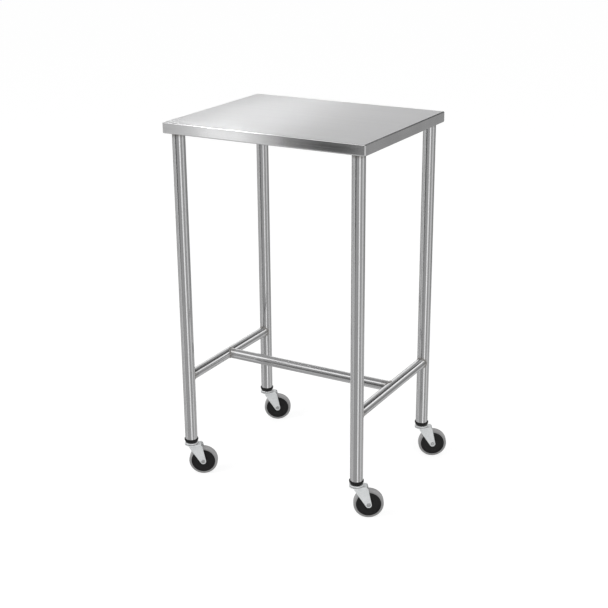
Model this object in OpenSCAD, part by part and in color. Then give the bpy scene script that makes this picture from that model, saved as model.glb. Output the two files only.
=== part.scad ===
// Wheeled instrument table: a pressed sheet top on four round legs, an H of brace tubes and four
// swivelling castors. Sizes are in millimetres. X runs along the wide front, Y runs to the back and
// Z runs up. The origin is on the floor below the middle of the top.

/* [Top] */
// Length of the top along its wide front
top_l = 508; // [400:1:900]
// Depth of the top from front to back
top_d = 406; // [320:1:700]
// Height of the working face above the floor
top_z = 875; // [600:1:1000]
// Thickness of the top's sheet
sheet_t = 1.5; // [1:0.1:2.2]
// Height of the edge turned down all round the top
edge_h = 25; // [15:1:40]
// Outside radius of the top's bends and upright corners
bend_r = 3; // [2.5:0.1:5]
// Width of the lip turned in at the foot of the edge
lip_w = 6; // [3:0.5:7]
// Side of each square plate under the corners of the top
plate_side = 50; // [46:1:80]
// Thickness of each corner plate
plate_t = 2.5; // [1.5:0.5:5]
// Gap between a corner plate and the bends of the edge
plate_gap = 2; // [1:0.5:4]

/* [Legs and brace] */
// Outside diameter of the leg tubes
leg_od = 30; // [28:0.5:32]
// Wall of the leg tubes
leg_wall = 1.5; // [1:0.1:2.5]
// Distance from an end of the top to the axis of each leg beside it
leg_inset_l = 27; // [25:1:32]
// Distance from the front or back of the top to the axis of each leg beside it
leg_inset_d = 24; // [24:1:32]
// Outside diameter of the brace tubes
brace_od = 25; // [16:0.5:28]
// Wall of the brace tubes
brace_wall = 1.5; // [1:0.1:3]
// Height of the brace tubes' axes above the floor
brace_z = 255; // [180:1:600]
// Distance from an end rail's axis to the sharp ends of the stretcher's saddle cut
saddle_trim = 2; // [1:0.5:5]

/* [Wheel] */
// Diameter of the wheel over its tyre
wheel_d = 70; // [54:1:80]
// Width of the tyre
tyre_w = 18; // [15:0.5:26]
// Thickness of the tyre from its tread to the core
tyre_t = 6; // [5:0.5:10]
// Radius of the tyre's shoulders
shoulder_r = 3.5; // [1:0.5:4.5]
// Height of the tongue round the core that holds the tyre
tongue_h = 2; // [1:0.5:3]
// Width of that tongue
tongue_w = 8; // [4:0.5:10]
// Width of the raised ring round each face of the core
ring_w = 2.5; // [1.5:0.5:5]
// Depth of that ring below the side of the tyre
ring_sink = 0.5; // [0.2:0.1:1]
// Depth of the core's web below the side of the tyre
web_sink = 1.5; // [1.1:0.1:4]
// Diameter of the core's hub
hub_d = 19; // [16:0.5:26]

/* [Fork] */
// Distance from the swivel axis to the axle
trail = 28; // [22:1:34]
// Direction in which the castors trail, turned from +X towards +Y
trail_turn = 29; // [-180:1:180]
// Thickness of the fork's sheet
fork_t = 2.5; // [1.5:0.1:3]
// Gap between the tyre and each side plate
side_gap = 1.5; // [0.8:0.1:4]
// Gap between the tread and the crown above it
crown_gap = 7; // [6:0.5:20]
// Radius of the crown's round race
crown_r = 17; // [16.5:0.5:24]
// Reach of the side plates ahead of the swivel axis
fork_lead = 5; // [3:0.5:10]
// Reach of the side plates' tops behind the swivel axis
fork_reach = 27; // [22:0.5:32]
// Radius of the side plates' round tips at the axle
tip_r = 7; // [7:0.5:12]
// Radius of the side plates' upper corners
corner_r = 3.5; // [3.2:0.1:6]
// Outside radius of the bends between the crown and the side plates
fork_bend = 2.5; // [1:0.5:4]
// Width of the raised edge of the side plates
rim_w = 2; // [1.5:0.1:2.2]
// Height of that raised edge
rim_h = 0.8; // [0.4:0.1:1.5]

/* [Swivel] */
// Diameter of the stem bolt
stem_d = 11; // [8:0.5:12]
// Diameter of the stem's formed head under the crown
stem_head_d = 18; // [15:0.5:20]
// Thickness of the stem's formed head
stem_head_t = 2.5; // [1.5:0.5:4]
// Diameter of the race balls
ball_d = 3.5; // [3:0.5:4]
// Number of race balls
ball_count = 18; // [8:1:18]
// Radius of the ring of balls
race_r = 14; // [13.5:0.5:14.5]
// Depth of the ball groove in the crown
race_groove = 0.5; // [0.3:0.1:1]
// Gap between the crown and the foot of the race cap
race_gap = 1.5; // [1:0.1:1.8]
// Thickness of the race cap's sheet
cap_t = 1.2; // [1:0.1:1.4]

/* [Expander] */
// Diameter of the visible rubber collar
collar_d = 34; // [31:0.5:38]
// Radius of the collar's rounded underside
collar_round = 8; // [6:0.5:9]
// Height of the collar's straight band
collar_band = 1.5; // [1:0.5:12]
// Least gap between the collar and the race cap's crest
collar_gap = 0.6; // [0.4:0.1:3]
// Length of the rubber plug inside the leg
plug_l = 30; // [15:1:60]
// Size across the flats of the stem nut
stem_nut_af = 17; // [14:0.5:19]
// Thickness of the stem nut
stem_nut_t = 8; // [4:0.5:12]
// Length of thread that stands out of the stem nut
thread_end = 3; // [1:0.5:10]

/* [Axle] */
// Diameter of the axle
axle_d = 6.4; // [5:0.1:9]
// Diameter of the axle's formed head
axle_head_d = 9.5; // [9.1:0.1:9.9]
// Thickness of the axle's formed head
axle_head_t = 2; // [1:0.5:3]
// Size across the flats of the axle nut
axle_nut_af = 11; // [10.5:0.5:13]
// Thickness of the axle nut
axle_nut_t = 5; // [3:0.5:8]
// Length of thread that stands out of the axle nut
axle_end = 1; // [0.5:0.5:4]
// Diameter of the bush on the axle
bush_d = 12; // [10.5:0.5:14]

/* [Fits] */
// Radial clearance of a shaft in its hole and of a ball in its groove
run_fit = 0.05; // [0.02:0.01:0.1]
// Gap at each end of the hub and above the stem's head
end_float = 0.3; // [0.2:0.05:0.5]
// Radial clearance of the rubber plug in the leg
plug_fit = 0.1; // [0.05:0.05:0.5]

/* [Hidden] */
$fn = 64;
HEX_SIDES = 6;
// Slope of a nut's chamfers, in degrees from its faces
NUT_CHAMFER = 30;
// Overrun of a cut past the face that it opens
cut = 1;
// Depth by which a straight edge stays inside the rounds at its ends, so that the two cross cleanly
seam = 0.002;

// Name of each corner and the signs of its X and Y
CORNERS = [
    ["front_left", -1, -1],
    ["front_right", 1, -1],
    ["back_left", -1, 1],
    ["back_right", 1, 1],
];
CORNER_PIECES = [
    "corner_plate",
    "leg",
    "collar",
    "stem",
    "stem_nut",
    "race_cap",
    "race_balls",
    "fork",
    "axle",
    "axle_nut",
    "bush",
    "wheel_core",
    "tyre",
];
NODES = concat(
    ["top_sheet", "end_rail_left", "end_rail_right", "stretcher"],
    [for (piece = CORNER_PIECES) for (corner = CORNERS) str(piece, "_", corner[0])]
);
node = "all";

// Colours
sheet_colour = [0.80, 0.80, 0.81];
tube_colour = [0.66, 0.67, 0.68];
zinc_colour = [0.80, 0.82, 0.82];
steel_colour = [0.55, 0.56, 0.57];
rubber_colour = [0.09, 0.10, 0.10];
core_colour = [0.07, 0.07, 0.07];
tyre_colour = [0.55, 0.56, 0.55];

// Places of the legs and the underside of the top
leg_x = top_l / 2 - leg_inset_l;
leg_y = top_d / 2 - leg_inset_d;
leg_r = leg_od / 2;
leg_bore_r = leg_r - leg_wall;
brace_r = brace_od / 2;
sheet_under = top_z - sheet_t;
plate_under = sheet_under - plate_t;

// Wheel and fork
wheel_r = wheel_d / 2;
core_r = wheel_r - tyre_t;
axle_z = wheel_r;
gap_half = tyre_w / 2 + side_gap;
fork_half = gap_half + fork_t;
crown_under = wheel_d + crown_gap;
crown_top = crown_under + fork_t;

// Swivel race, from the crown up to the leg's foot
stem_r = stem_d / 2;
ball_r = ball_d / 2;
ball_z = crown_top + ball_r + run_fit - race_groove;
groove_r = ball_r + run_fit;
crest_r = groove_r + cap_t;
cap_foot = crown_top + race_gap;
collar_seat = cap_foot + cap_t;
neck_r = collar_d / 2 - collar_round;
dome_reach = crest_r + collar_round + collar_gap;
dome_z = max(
    collar_seat + collar_round,
    ball_z + sqrt(pow(dome_reach, 2) - pow(race_r - neck_r, 2))
);
leg_foot = dome_z + collar_band;
plug_top = leg_foot + plug_l;
stem_nut_top = plug_top + stem_nut_t;
stem_head_top = crown_under - end_float;

// Axle and bush
bush_bore_r = axle_d / 2 + run_fit;
hub_half = gap_half - end_float;

// Rectangle with rounded corners, centred on the origin
module rounded_rectangle(l, d, r) {
    square([l - 2 * r, d], center = true);
    square([l, d - 2 * r], center = true);
    for (x = [-1, 1], y = [-1, 1])
        translate([x * (l / 2 - r), y * (d / 2 - r)])
            circle(r = r);
}

// Slab on z = 0 with all its corners and edges rounded to one radius
module pillow(l, d, h, r) {
    translate([0, 0, r])
        linear_extrude(h - 2 * r)
            rounded_rectangle(l, d, r);
    linear_extrude(h)
        square([l - 2 * r, d - 2 * r], center = true);
    for (z = [r, h - r]) {
        for (y = [-1, 1])
            translate([0, y * (d / 2 - r), z])
                rotate([0, 90, 0])
                    cylinder(h = l - 2 * r, r = r, center = true);
        for (x = [-1, 1])
            translate([x * (l / 2 - r), 0, z])
                rotate([90, 0, 0])
                    cylinder(h = d - 2 * r, r = r, center = true);
        for (x = [-1, 1], y = [-1, 1])
            translate([x * (l / 2 - r), y * (d / 2 - r), z])
                sphere(r = r);
    }
}

// Round tube along Z, centred on the origin
module tube(h, r, wall) {
    difference() {
        cylinder(h = h, r = r, center = true);
        cylinder(h = h + 2 * cut, r = r - wall, center = true);
    }
}

// Hexagonal nut on z = 0 along Z, with its corners chamfered to the flats at both faces
module hex_nut(af, h, bore_r) {
    chamfer_reach = h / tan(NUT_CHAMFER);
    difference() {
        intersection() {
            cylinder(h = h, d = af / cos(180 / HEX_SIDES), $fn = HEX_SIDES);
            cylinder(h = h, r1 = af / 2, r2 = af / 2 + chamfer_reach);
            cylinder(h = h, r1 = af / 2 + chamfer_reach, r2 = af / 2);
        }
        translate([0, 0, -cut])
            cylinder(h = h + 2 * cut, r = bore_r);
    }
}

// Direction of the outward normal of the line that touches two discs, met in anticlockwise order
function touch_angle(a, b) =
    atan2(b[1] - a[1], b[0] - a[0]) - 90
    + asin((a[2] - b[2]) / norm([b[0] - a[0], b[1] - a[1]]));

// Point just inside the rim of a disc in a given direction
function rim_point(disc, angle) =
    let (reach = disc[2] - seam)
        [disc[0] + reach * cos(angle), disc[1] + reach * sin(angle)];

// Outline stretched round discs [x, y, radius], given in anticlockwise order
module stretched_outline(discs) {
    last = len(discs) - 1;
    polygon([
        for (i = [0 : last], end = [0, 1])
            let (a = discs[i], b = discs[i == last ? 0 : i + 1])
                rim_point(end == 0 ? a : b, touch_angle(a, b))
    ]);
    for (disc = discs)
        translate([disc[0], disc[1]])
            circle(r = disc[2]);
}

// Puts a piece on a leg's axis
module at_leg(corner) {
    translate([corner[1] * leg_x, corner[2] * leg_y, 0])
        children();
}

// Puts a castor piece on a leg's axis, turned to the trailing direction
module at_castor(corner) {
    at_leg(corner)
        rotate([0, 0, trail_turn])
            children();
}

// Puts a piece of the wheel on the axle, with the piece's Z along the axle to the near side
module at_axle() {
    translate([trail, 0, axle_z])
        rotate([90, 0, 0])
            children();
}

// Top: one sheet with its edges turned down and a lip turned in at their foot
module top_sheet() {
    lip_reach = sheet_t + lip_w;
    color(sheet_colour)
        translate([0, 0, top_z - edge_h])
            difference() {
                pillow(top_l, top_d, edge_h, bend_r);
                translate([0, 0, sheet_t])
                    pillow(
                        top_l - 2 * sheet_t,
                        top_d - 2 * sheet_t,
                        edge_h - 2 * sheet_t,
                        bend_r - sheet_t
                    );
                translate([0, 0, -cut])
                    linear_extrude(edge_h / 2 + cut)
                        square([top_l - 2 * lip_reach, top_d - 2 * lip_reach], center = true);
            }
}

// Square plate that spreads a leg's weld over the underside of the top
module corner_plate(corner) {
    reach = bend_r + plate_gap + plate_side / 2;
    color(tube_colour)
        translate([corner[1] * (top_l / 2 - reach), corner[2] * (top_d / 2 - reach), plate_under])
            linear_extrude(plate_t)
                rounded_rectangle(plate_side, plate_side, bend_r);
}

// Leg: a round tube from the castor's collar up to the corner plate
module leg() {
    leg_l = plate_under - leg_foot;
    color(tube_colour)
        translate([0, 0, leg_foot + leg_l / 2])
            tube(leg_l, leg_r, leg_wall);
}

// End rail: a tube between a front and a back leg, cut to saddle on both
module end_rail(side) {
    color(tube_colour)
        difference() {
            translate([side * leg_x, 0, brace_z])
                rotate([90, 0, 0])
                    tube(2 * leg_y, brace_r, brace_wall);
            for (y = [-1, 1])
                translate([side * leg_x, y * leg_y, brace_z])
                    cylinder(h = 2 * brace_od, r = leg_r, center = true);
        }
}

// Stretcher: a tube between the middles of the end rails, cut to saddle on both
module stretcher() {
    color(tube_colour)
        difference() {
            translate([0, 0, brace_z])
                rotate([0, 90, 0])
                    tube(2 * (leg_x - saddle_trim), brace_r, brace_wall);
            for (x = [-1, 1])
                translate([x * leg_x, 0, brace_z])
                    rotate([90, 0, 0])
                        cylinder(h = 2 * brace_od, r = brace_r, center = true);
        }
}

// Half section of the rubber expander: neck, rounded underside, band and the plug in the leg
module collar_section() {
    intersection() {
        union() {
            translate([0, collar_seat])
                square([neck_r, leg_foot - collar_seat]);
            translate([neck_r, dome_z])
                circle(r = collar_round);
            translate([0, dome_z])
                square([collar_d / 2, collar_band]);
        }
        square([collar_d / 2, leg_foot]);
    }
    translate([0, leg_foot])
        square([leg_bore_r - plug_fit, plug_l]);
}

// Rubber expander with its bore for the stem
module collar() {
    color(rubber_colour)
        rotate_extrude()
            difference() {
                collar_section();
                translate([0, collar_seat - cut])
                    square([stem_r + run_fit, plug_top - collar_seat + 2 * cut]);
            }
}

// Stem bolt: a formed head under the crown and a shank up to the stem nut
module stem() {
    color(steel_colour) {
        translate([0, 0, stem_head_top - stem_head_t])
            cylinder(h = stem_head_t, d = stem_head_d);
        translate([0, 0, stem_head_top - stem_head_t])
            cylinder(h = stem_nut_top + thread_end - stem_head_top + stem_head_t, r = stem_r);
    }
}

// Nut that squeezes the rubber plug in the leg
module stem_nut() {
    color(steel_colour)
        translate([0, 0, plug_top])
            hex_nut(stem_nut_af, stem_nut_t, stem_r + run_fit);
}

// Race cap: a pressed ring over the balls with a flat web under the collar
module race_cap() {
    color(zinc_colour)
        rotate_extrude()
            difference() {
                union() {
                    translate([0, cap_foot])
                        square([race_r, cap_t]);
                    intersection() {
                        translate([race_r, ball_z])
                            circle(r = crest_r);
                        translate([0, cap_foot])
                            square([race_r + 2 * crest_r, 2 * crest_r]);
                    }
                }
                translate([race_r, ball_z])
                    circle(r = groove_r);
                translate([0, cap_foot - cut])
                    square([stem_r + run_fit, cap_t + 2 * cut]);
            }
}

// Balls of the swivel race
module race_balls() {
    color(steel_colour)
        for (i = [0 : ball_count - 1])
            rotate([0, 0, i * 360 / ball_count])
                translate([race_r, 0, ball_z])
                    sphere(r = ball_r);
}

// Outline of a side plate in the plane across the axle, drawn in by a given amount
module side_outline(inset) {
    r = corner_r - inset;
    upper = crown_top - fork_bend - corner_r;
    stretched_outline([
        [trail, axle_z, tip_r - inset],
        [fork_reach - corner_r, upper, r],
        [corner_r - fork_lead, upper, r],
    ]);
}

// Side plate with a raised edge, with its inner face on y = 0 and its outer face towards -Y
module side_plate() {
    rotate([90, 0, 0]) {
        linear_extrude(fork_t)
            side_outline(0);
        linear_extrude(fork_t + rim_h)
            difference() {
                side_outline(0);
                side_outline(rim_w);
            }
    }
}

// Crown of the fork: a round race plate that runs out over the side plates
module crown() {
    plate_l = fork_lead + fork_reach - 2 * corner_r;
    plate_mid = (fork_reach - fork_lead) / 2;
    translate([0, 0, crown_under])
        cylinder(h = fork_t, r = crown_r);
    translate([plate_mid, 0, crown_under + fork_t / 2])
        cube([plate_l, 2 * (fork_half - fork_bend), fork_t], center = true);
    for (side = [-1, 1])
        translate([plate_mid, side * (fork_half - fork_bend), crown_top - fork_bend])
            rotate([0, 90, 0])
                cylinder(h = plate_l, r = fork_bend, center = true);
}

// Fork: crown and two side plates in one pressing, with the holes for the stem and the axle
module fork() {
    color(zinc_colour)
        difference() {
            union() {
                difference() {
                    crown();
                    translate([0, 0, crown_under - fork_bend - corner_r])
                        linear_extrude(fork_bend + corner_r)
                            square([4 * crown_r, 2 * gap_half], center = true);
                }
                for (turn = [0, 1])
                    mirror([0, turn, 0])
                        translate([0, -gap_half, 0])
                            side_plate();
            }
            translate([0, 0, crown_under - cut])
                cylinder(h = fork_t + 2 * cut, r = stem_r + run_fit);
            rotate_extrude()
                translate([race_r, ball_z])
                    circle(r = groove_r);
            at_axle()
                cylinder(h = 4 * fork_half, r = axle_d / 2 + run_fit, center = true);
        }
}

// Axle with its formed head on the near side plate
module axle() {
    tail = rim_h + axle_nut_t + axle_end;
    color(steel_colour)
        at_axle() {
            translate([0, 0, -fork_half - tail])
                cylinder(h = 2 * fork_half + tail, d = axle_d);
            translate([0, 0, fork_half])
                cylinder(h = axle_head_t, d1 = axle_head_d, d2 = axle_d);
        }
}

// Nut on the far end of the axle, seated on the side plate's raised edge
module axle_nut() {
    color(steel_colour)
        at_axle()
            translate([0, 0, -fork_half - rim_h - axle_nut_t])
                hex_nut(axle_nut_af, axle_nut_t, axle_d / 2 + run_fit);
}

// Bush on the axle, clamped between the side plates
module bush() {
    color(steel_colour)
        at_axle()
            difference() {
                cylinder(h = 2 * gap_half, d = bush_d, center = true);
                cylinder(h = 2 * gap_half + 2 * cut, r = bush_bore_r, center = true);
            }
}

// Core of the wheel: hub, web, ringed rim and the tongue that holds the tyre
module wheel_core() {
    ring_half = tyre_w / 2 - ring_sink;
    web_half = tyre_w / 2 - web_sink;
    color(core_colour)
        at_axle()
            difference() {
                union() {
                    cylinder(h = 2 * hub_half, d = hub_d, center = true);
                    cylinder(h = 2 * web_half, r = core_r, center = true);
                    tube(2 * ring_half, core_r, ring_w);
                    cylinder(h = tongue_w, r = core_r + tongue_h, center = true);
                }
                cylinder(h = 2 * gap_half, r = bush_d / 2 + run_fit, center = true);
            }
}

// Tyre: a ring with rounded shoulders, grooved inside for the core's tongue
module tyre() {
    color(tyre_colour)
        at_axle()
            rotate_extrude()
                difference() {
                    union() {
                        translate([core_r, -tyre_w / 2])
                            square([tyre_t - shoulder_r, tyre_w]);
                        translate([core_r, shoulder_r - tyre_w / 2])
                            square([tyre_t, tyre_w - 2 * shoulder_r]);
                        for (side = [-1, 1])
                            translate([wheel_r - shoulder_r, side * (tyre_w / 2 - shoulder_r)])
                                circle(r = shoulder_r);
                    }
                    translate([0, -tyre_w / 2])
                        square([core_r, tyre_w]);
                    translate([core_r - cut, -tongue_w / 2])
                        square([tongue_h + cut, tongue_w]);
                }
}

// True when the whole table or just the named node is asked for
function shown(name) = node == "all" || node == name;

if (shown("top_sheet")) top_sheet();
if (shown("end_rail_left")) end_rail(-1);
if (shown("end_rail_right")) end_rail(1);
if (shown("stretcher")) stretcher();
for (corner = CORNERS) {
    place = corner[0];
    if (shown(str("corner_plate_", place))) corner_plate(corner);
    if (shown(str("leg_", place))) at_leg(corner) leg();
    if (shown(str("collar_", place))) at_leg(corner) collar();
    if (shown(str("stem_", place))) at_leg(corner) stem();
    if (shown(str("stem_nut_", place))) at_leg(corner) stem_nut();
    if (shown(str("race_cap_", place))) at_leg(corner) race_cap();
    if (shown(str("race_balls_", place))) at_leg(corner) race_balls();
    if (shown(str("fork_", place))) at_castor(corner) fork();
    if (shown(str("axle_", place))) at_castor(corner) axle();
    if (shown(str("axle_nut_", place))) at_castor(corner) axle_nut();
    if (shown(str("bush_", place))) at_castor(corner) bush();
    if (shown(str("wheel_core_", place))) at_castor(corner) wheel_core();
    if (shown(str("tyre_", place))) at_castor(corner) tyre();
}
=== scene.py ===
"""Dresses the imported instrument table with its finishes, weld beads and small castor parts in a studio.

Sizes are in metres and angles in degrees unless a name says otherwise. X runs along the table's wide front,
Y to its back and Z up. The origin is on the floor below the middle of the top.
"""

import logging
import math
from dataclasses import dataclass
from enum import Enum
from typing import Dict, List, Optional, Sequence, Tuple, Union

import bmesh
import bpy
from mathutils import Matrix, Vector


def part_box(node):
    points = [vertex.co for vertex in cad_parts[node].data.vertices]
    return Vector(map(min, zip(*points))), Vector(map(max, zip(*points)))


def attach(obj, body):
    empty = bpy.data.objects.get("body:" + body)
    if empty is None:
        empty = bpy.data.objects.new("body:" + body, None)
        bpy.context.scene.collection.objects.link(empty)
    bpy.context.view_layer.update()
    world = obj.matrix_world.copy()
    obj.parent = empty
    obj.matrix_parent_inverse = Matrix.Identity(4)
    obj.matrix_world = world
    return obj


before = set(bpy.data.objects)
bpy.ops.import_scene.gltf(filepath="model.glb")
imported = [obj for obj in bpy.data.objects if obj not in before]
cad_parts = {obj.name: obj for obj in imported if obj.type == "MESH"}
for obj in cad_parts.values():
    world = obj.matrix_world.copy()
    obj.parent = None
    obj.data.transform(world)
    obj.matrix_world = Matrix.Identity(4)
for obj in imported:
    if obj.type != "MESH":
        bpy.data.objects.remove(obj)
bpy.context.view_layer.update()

LOG = logging.getLogger("table")
LENGTHWISE = Vector((1.0, 0.0, 0.0))
DEPTHWISE = Vector((0.0, 1.0, 0.0))
UP = Vector((0.0, 0.0, 1.0))
SAME_POINT = 1e-6
BROKEN_STEPS = 2
SHARP_ANGLE = 34.0
FLAT_FACE_WEIGHT = 100
HALF = 0.5

# Detail and roughness of a plain noise and of a smooth one.
PLAIN_NOISE = (2.0, 0.5)
SMOOTH_NOISE = (1.0, 0.4)

Colour = Tuple[float, float, float]
Point = Tuple[float, float, float]
Pair = Tuple[float, float]
Socket = bpy.types.NodeSocket
Feed = Union[float, Sequence[float], Socket]
Laid = Dict[str, Feed]
Fed = Dict[Union[str, int], Feed]
Inputs = Tuple[Tuple[str, Feed], ...]
Names = Tuple[str, ...]
Given = bpy.types.NodeOutputs
Piece = bpy.types.Object
Mesh = bmesh.types.BMesh
Ring = Sequence[bmesh.types.BMVert]


class Corner(Enum):
    """The table's four corners: the name in the frame and the signs of X and Y."""

    FRONT_LEFT = ("front_left", -1, -1)
    FRONT_RIGHT = ("front_right", 1, -1)
    BACK_LEFT = ("back_left", -1, 1)
    BACK_RIGHT = ("back_right", 1, 1)

    def __init__(self, place: str, sign_x: int, sign_y: int) -> None:
        """Keeps what the corner is made of.

        Args:
            place: name of the corner in the frame.
            sign_x: side of the corner along the front.
            sign_y: side of the corner in depth.
        """
        self.place = place
        self.sign_x = sign_x
        self.sign_y = sign_y

    def part(self, name: str) -> str:
        """Name of one of the parts at this corner."""
        return f"{name}_{self.place}"


class Grain(Enum):
    """Direction in which a steel part was brushed or drawn."""

    LENGTH = (1.0, 0.0, 0.0)
    DEPTH = (0.0, 1.0, 0.0)
    UPRIGHT = (0.0, 0.0, 1.0)


class Span(Enum):
    """Stretch of a noise's values over which a finish changes: the narrower, the more contrast."""

    WIDE = (0.2, 0.8)
    MIDDLE = (0.25, 0.75)
    NARROW = (0.3, 0.7)


# Nodes


class Bench:
    """Lays out the nodes of one material, world or effect."""

    COLUMNS = 9
    STEP = (220, 300)
    # By kind, the numbers of the Mix node's first input and of its result.
    MIX_SOCKETS = {"FLOAT": (2, 0), "VECTOR": (4, 1), "RGBA": (6, 2)}

    def __init__(self, tree: bpy.types.NodeTree) -> None:
        """Starts on an empty node tree."""
        self.tree = tree
        self.placed = 0

    def node(self, kind: str, inputs: Optional[Fed] = None, **settings: object) -> bpy.types.Node:
        """Adds one node.

        Args:
            kind: Blender's name of the node type.
            inputs: value or socket for each input, by name or by number.
            settings: properties of the node.

        Returns:
            The new node.
        """
        made = self.tree.nodes.new(kind)
        row, column = divmod(self.placed, self.COLUMNS)
        made.location = (column * self.STEP[0], -row * self.STEP[1])
        self.placed += 1
        for name, value in settings.items():
            setattr(made, name, value)
        for name, value in (inputs or {}).items():
            self.feed(made.inputs[name], value)
        return made

    def feed(self, socket: Socket, value: Feed) -> None:
        """Links a socket or sets its value.

        Args:
            socket: the input.
            value: another node's output, or the value itself.
        """
        if isinstance(value, Socket):
            self.tree.links.new(value, socket)
        else:
            socket.default_value = value

    def math(self, operation: str, *values: Feed) -> Socket:
        """Adds a Math node and returns its output."""
        return self.node("ShaderNodeMath", dict(enumerate(values)), operation=operation).outputs[0]

    def times(self, first: Feed, second: Feed) -> Socket:
        """Product of two values."""
        return self.math("MULTIPLY", first, second)

    def plus(self, first: Feed, second: Feed) -> Socket:
        """Sum of two values."""
        return self.math("ADD", first, second)

    def minus(self, first: Feed, second: Feed) -> Socket:
        """First value less the second."""
        return self.math("SUBTRACT", first, second)

    def vector(self, operation: str, *values: Feed) -> Socket:
        """Adds a Vector Math node and returns the output that its operation fills."""
        made = self.node("ShaderNodeVectorMath", dict(enumerate(values)), operation=operation)
        return made.outputs["Value" if operation in ("LENGTH", "DOT_PRODUCT", "DISTANCE") else "Vector"]

    def ramp(self, value: Feed, low: Feed, high: Feed, to_low: Feed = 0.0, to_high: Feed = 1.0) -> Socket:
        """Maps a value smoothly from one span to another.

        Args:
            value: the value to map.
            low: start of its span.
            high: end of its span.
            to_low: result at the start.
            to_high: result at the end.

        Returns:
            The mapped value.
        """
        inputs = {"Value": value, "From Min": low, "From Max": high, "To Min": to_low, "To Max": to_high}
        made = self.node("ShaderNodeMapRange", inputs, interpolation_type="SMOOTHSTEP", clamp=True)
        return made.outputs["Result"]

    def vary(self, value: Feed, span: Span, to_low: Feed = 0.0, to_high: Feed = 1.0) -> Socket:
        """Maps a noise's span smoothly onto two results."""
        return self.ramp(value, *span.value, to_low, to_high)

    def noise(self, place: Feed, scale: Feed, detail: float = 3.0, rough: float = 0.6) -> Socket:
        """Adds a noise and returns its value, from 0 to 1."""
        inputs = {"Vector": place, "Scale": scale, "Detail": detail, "Roughness": rough}
        return self.node("ShaderNodeTexNoise", inputs).outputs["Fac"]

    def rings(self, value: Feed, scale: float) -> Socket:
        """Adds a noise that changes with one value only, and returns its value, from 0 to 1."""
        inputs = {"W": value, "Scale": scale, "Detail": 2.0}
        return self.node("ShaderNodeTexNoise", inputs, noise_dimensions="1D").outputs["Fac"]

    def mix(self, kind: str, share: Feed, first: Feed, second: Feed) -> Socket:
        """Mixes two things of one kind.

        Args:
            kind: Blender's name of the kind.
            share: 0 for the first, 1 for the second.
            first: a value or a socket.
            second: a value or a socket.

        Returns:
            The mix.
        """
        start, result = self.MIX_SOCKETS[kind]
        inputs = {0: share, start: first, start + 1: second}
        return self.node("ShaderNodeMix", inputs, data_type=kind).outputs[result]

    def tint(self, share: Feed, first: Feed, second: Feed) -> Socket:
        """Mixes two colours.

        Args:
            share: 0 for the first colour, 1 for the second.
            first: a colour of three numbers or a socket.
            second: a colour of three numbers or a socket.

        Returns:
            The mixed colour.
        """
        colours = (value if isinstance(value, Socket) else (*value, 1.0) for value in (first, second))
        return self.mix("RGBA", share, *colours)

    def shade(self, colour: Feed, amount: Feed) -> Socket:
        """Multiplies a colour or a vector by a value that changes over the surface."""
        made = self.node("ShaderNodeVectorMath", {0: colour, "Scale": amount}, operation="SCALE")
        return made.outputs["Vector"]

    def place(self) -> Socket:
        """Returns the surface point in the piece's own coordinates, which ride with it."""
        return self.node("ShaderNodeTexCoord").outputs["Object"]

    def normal(self) -> Socket:
        """Returns the surface's normal."""
        return self.node("ShaderNodeNewGeometry").outputs["Normal"]

    def across(self, grain: Feed) -> Socket:
        """Returns the unit vector on the surface across its grain, for the Tangent input."""
        return self.vector("NORMALIZE", self.vector("CROSS_PRODUCT", self.normal(), grain))

    def parts(self, vector: Feed) -> Tuple[Socket, ...]:
        """Splits a vector into its X, Y and Z."""
        return tuple(self.node("ShaderNodeSeparateXYZ", {0: vector}).outputs)

    def join(self, x: Feed, y: Feed, z: Feed) -> Socket:
        """Makes a vector from its X, Y and Z."""
        return self.node("ShaderNodeCombineXYZ", {0: x, 1: y, 2: z}).outputs[0]

    def bump(
        self, height: Feed, depth: float, strength: float = 1.0, normal: Optional[Feed] = None
    ) -> Socket:
        """Turns a height into a normal.

        Args:
            height: the height, about 0 to 1.
            depth: how far 1 stands out, in metres.
            strength: share of the effect that is used.
            normal: normal that it starts from, or None for the surface's own.

        Returns:
            The bumped normal.
        """
        inputs = {"Height": height, "Distance": depth, "Strength": strength}
        if normal is not None:
            inputs["Normal"] = normal
        return self.node("ShaderNodeBump", inputs).outputs["Normal"]


FLOAT = "NodeSocketFloat"
VECTOR = "NodeSocketVector"
PLACE = ("Place", (0.0, 0.0, 0.0))


@dataclass(frozen=True)
class Effect:
    """A surface effect that several finishes share, kept as one node group with its inputs' first values."""

    name: str = "effect"
    inputs: Inputs = (PLACE,)
    outputs: Names = ()

    def lay(self, bench: Bench, given: Given) -> Laid:
        """Lays the group's nodes.

        Args:
            bench: where the nodes go.
            given: the group's inputs.

        Returns:
            What feeds each output.
        """
        raise NotImplementedError

    def tree(self) -> bpy.types.NodeTree:
        """Builds the group the first time that it is asked for.

        Returns:
            The group.
        """
        found = bpy.data.node_groups.get(self.name)
        if found is not None:
            return found
        tree = bpy.data.node_groups.new(self.name, "ShaderNodeTree")
        for label, value in self.inputs:
            kind = VECTOR if isinstance(value, tuple) else FLOAT
            tree.interface.new_socket(name=label, in_out="INPUT", socket_type=kind).default_value = value
        for label in self.outputs:
            tree.interface.new_socket(name=label, in_out="OUTPUT", socket_type=FLOAT)
        bench = Bench(tree)
        bench.node("NodeGroupOutput", self.lay(bench, bench.node("NodeGroupInput").outputs))
        return tree

    def on(self, bench: Bench, **values: Feed) -> bpy.types.NodeOutputs:
        """Places the effect in a material with its own inputs and returns its outputs."""
        return bench.node("ShaderNodeGroup", values, node_tree=self.tree()).outputs


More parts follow.
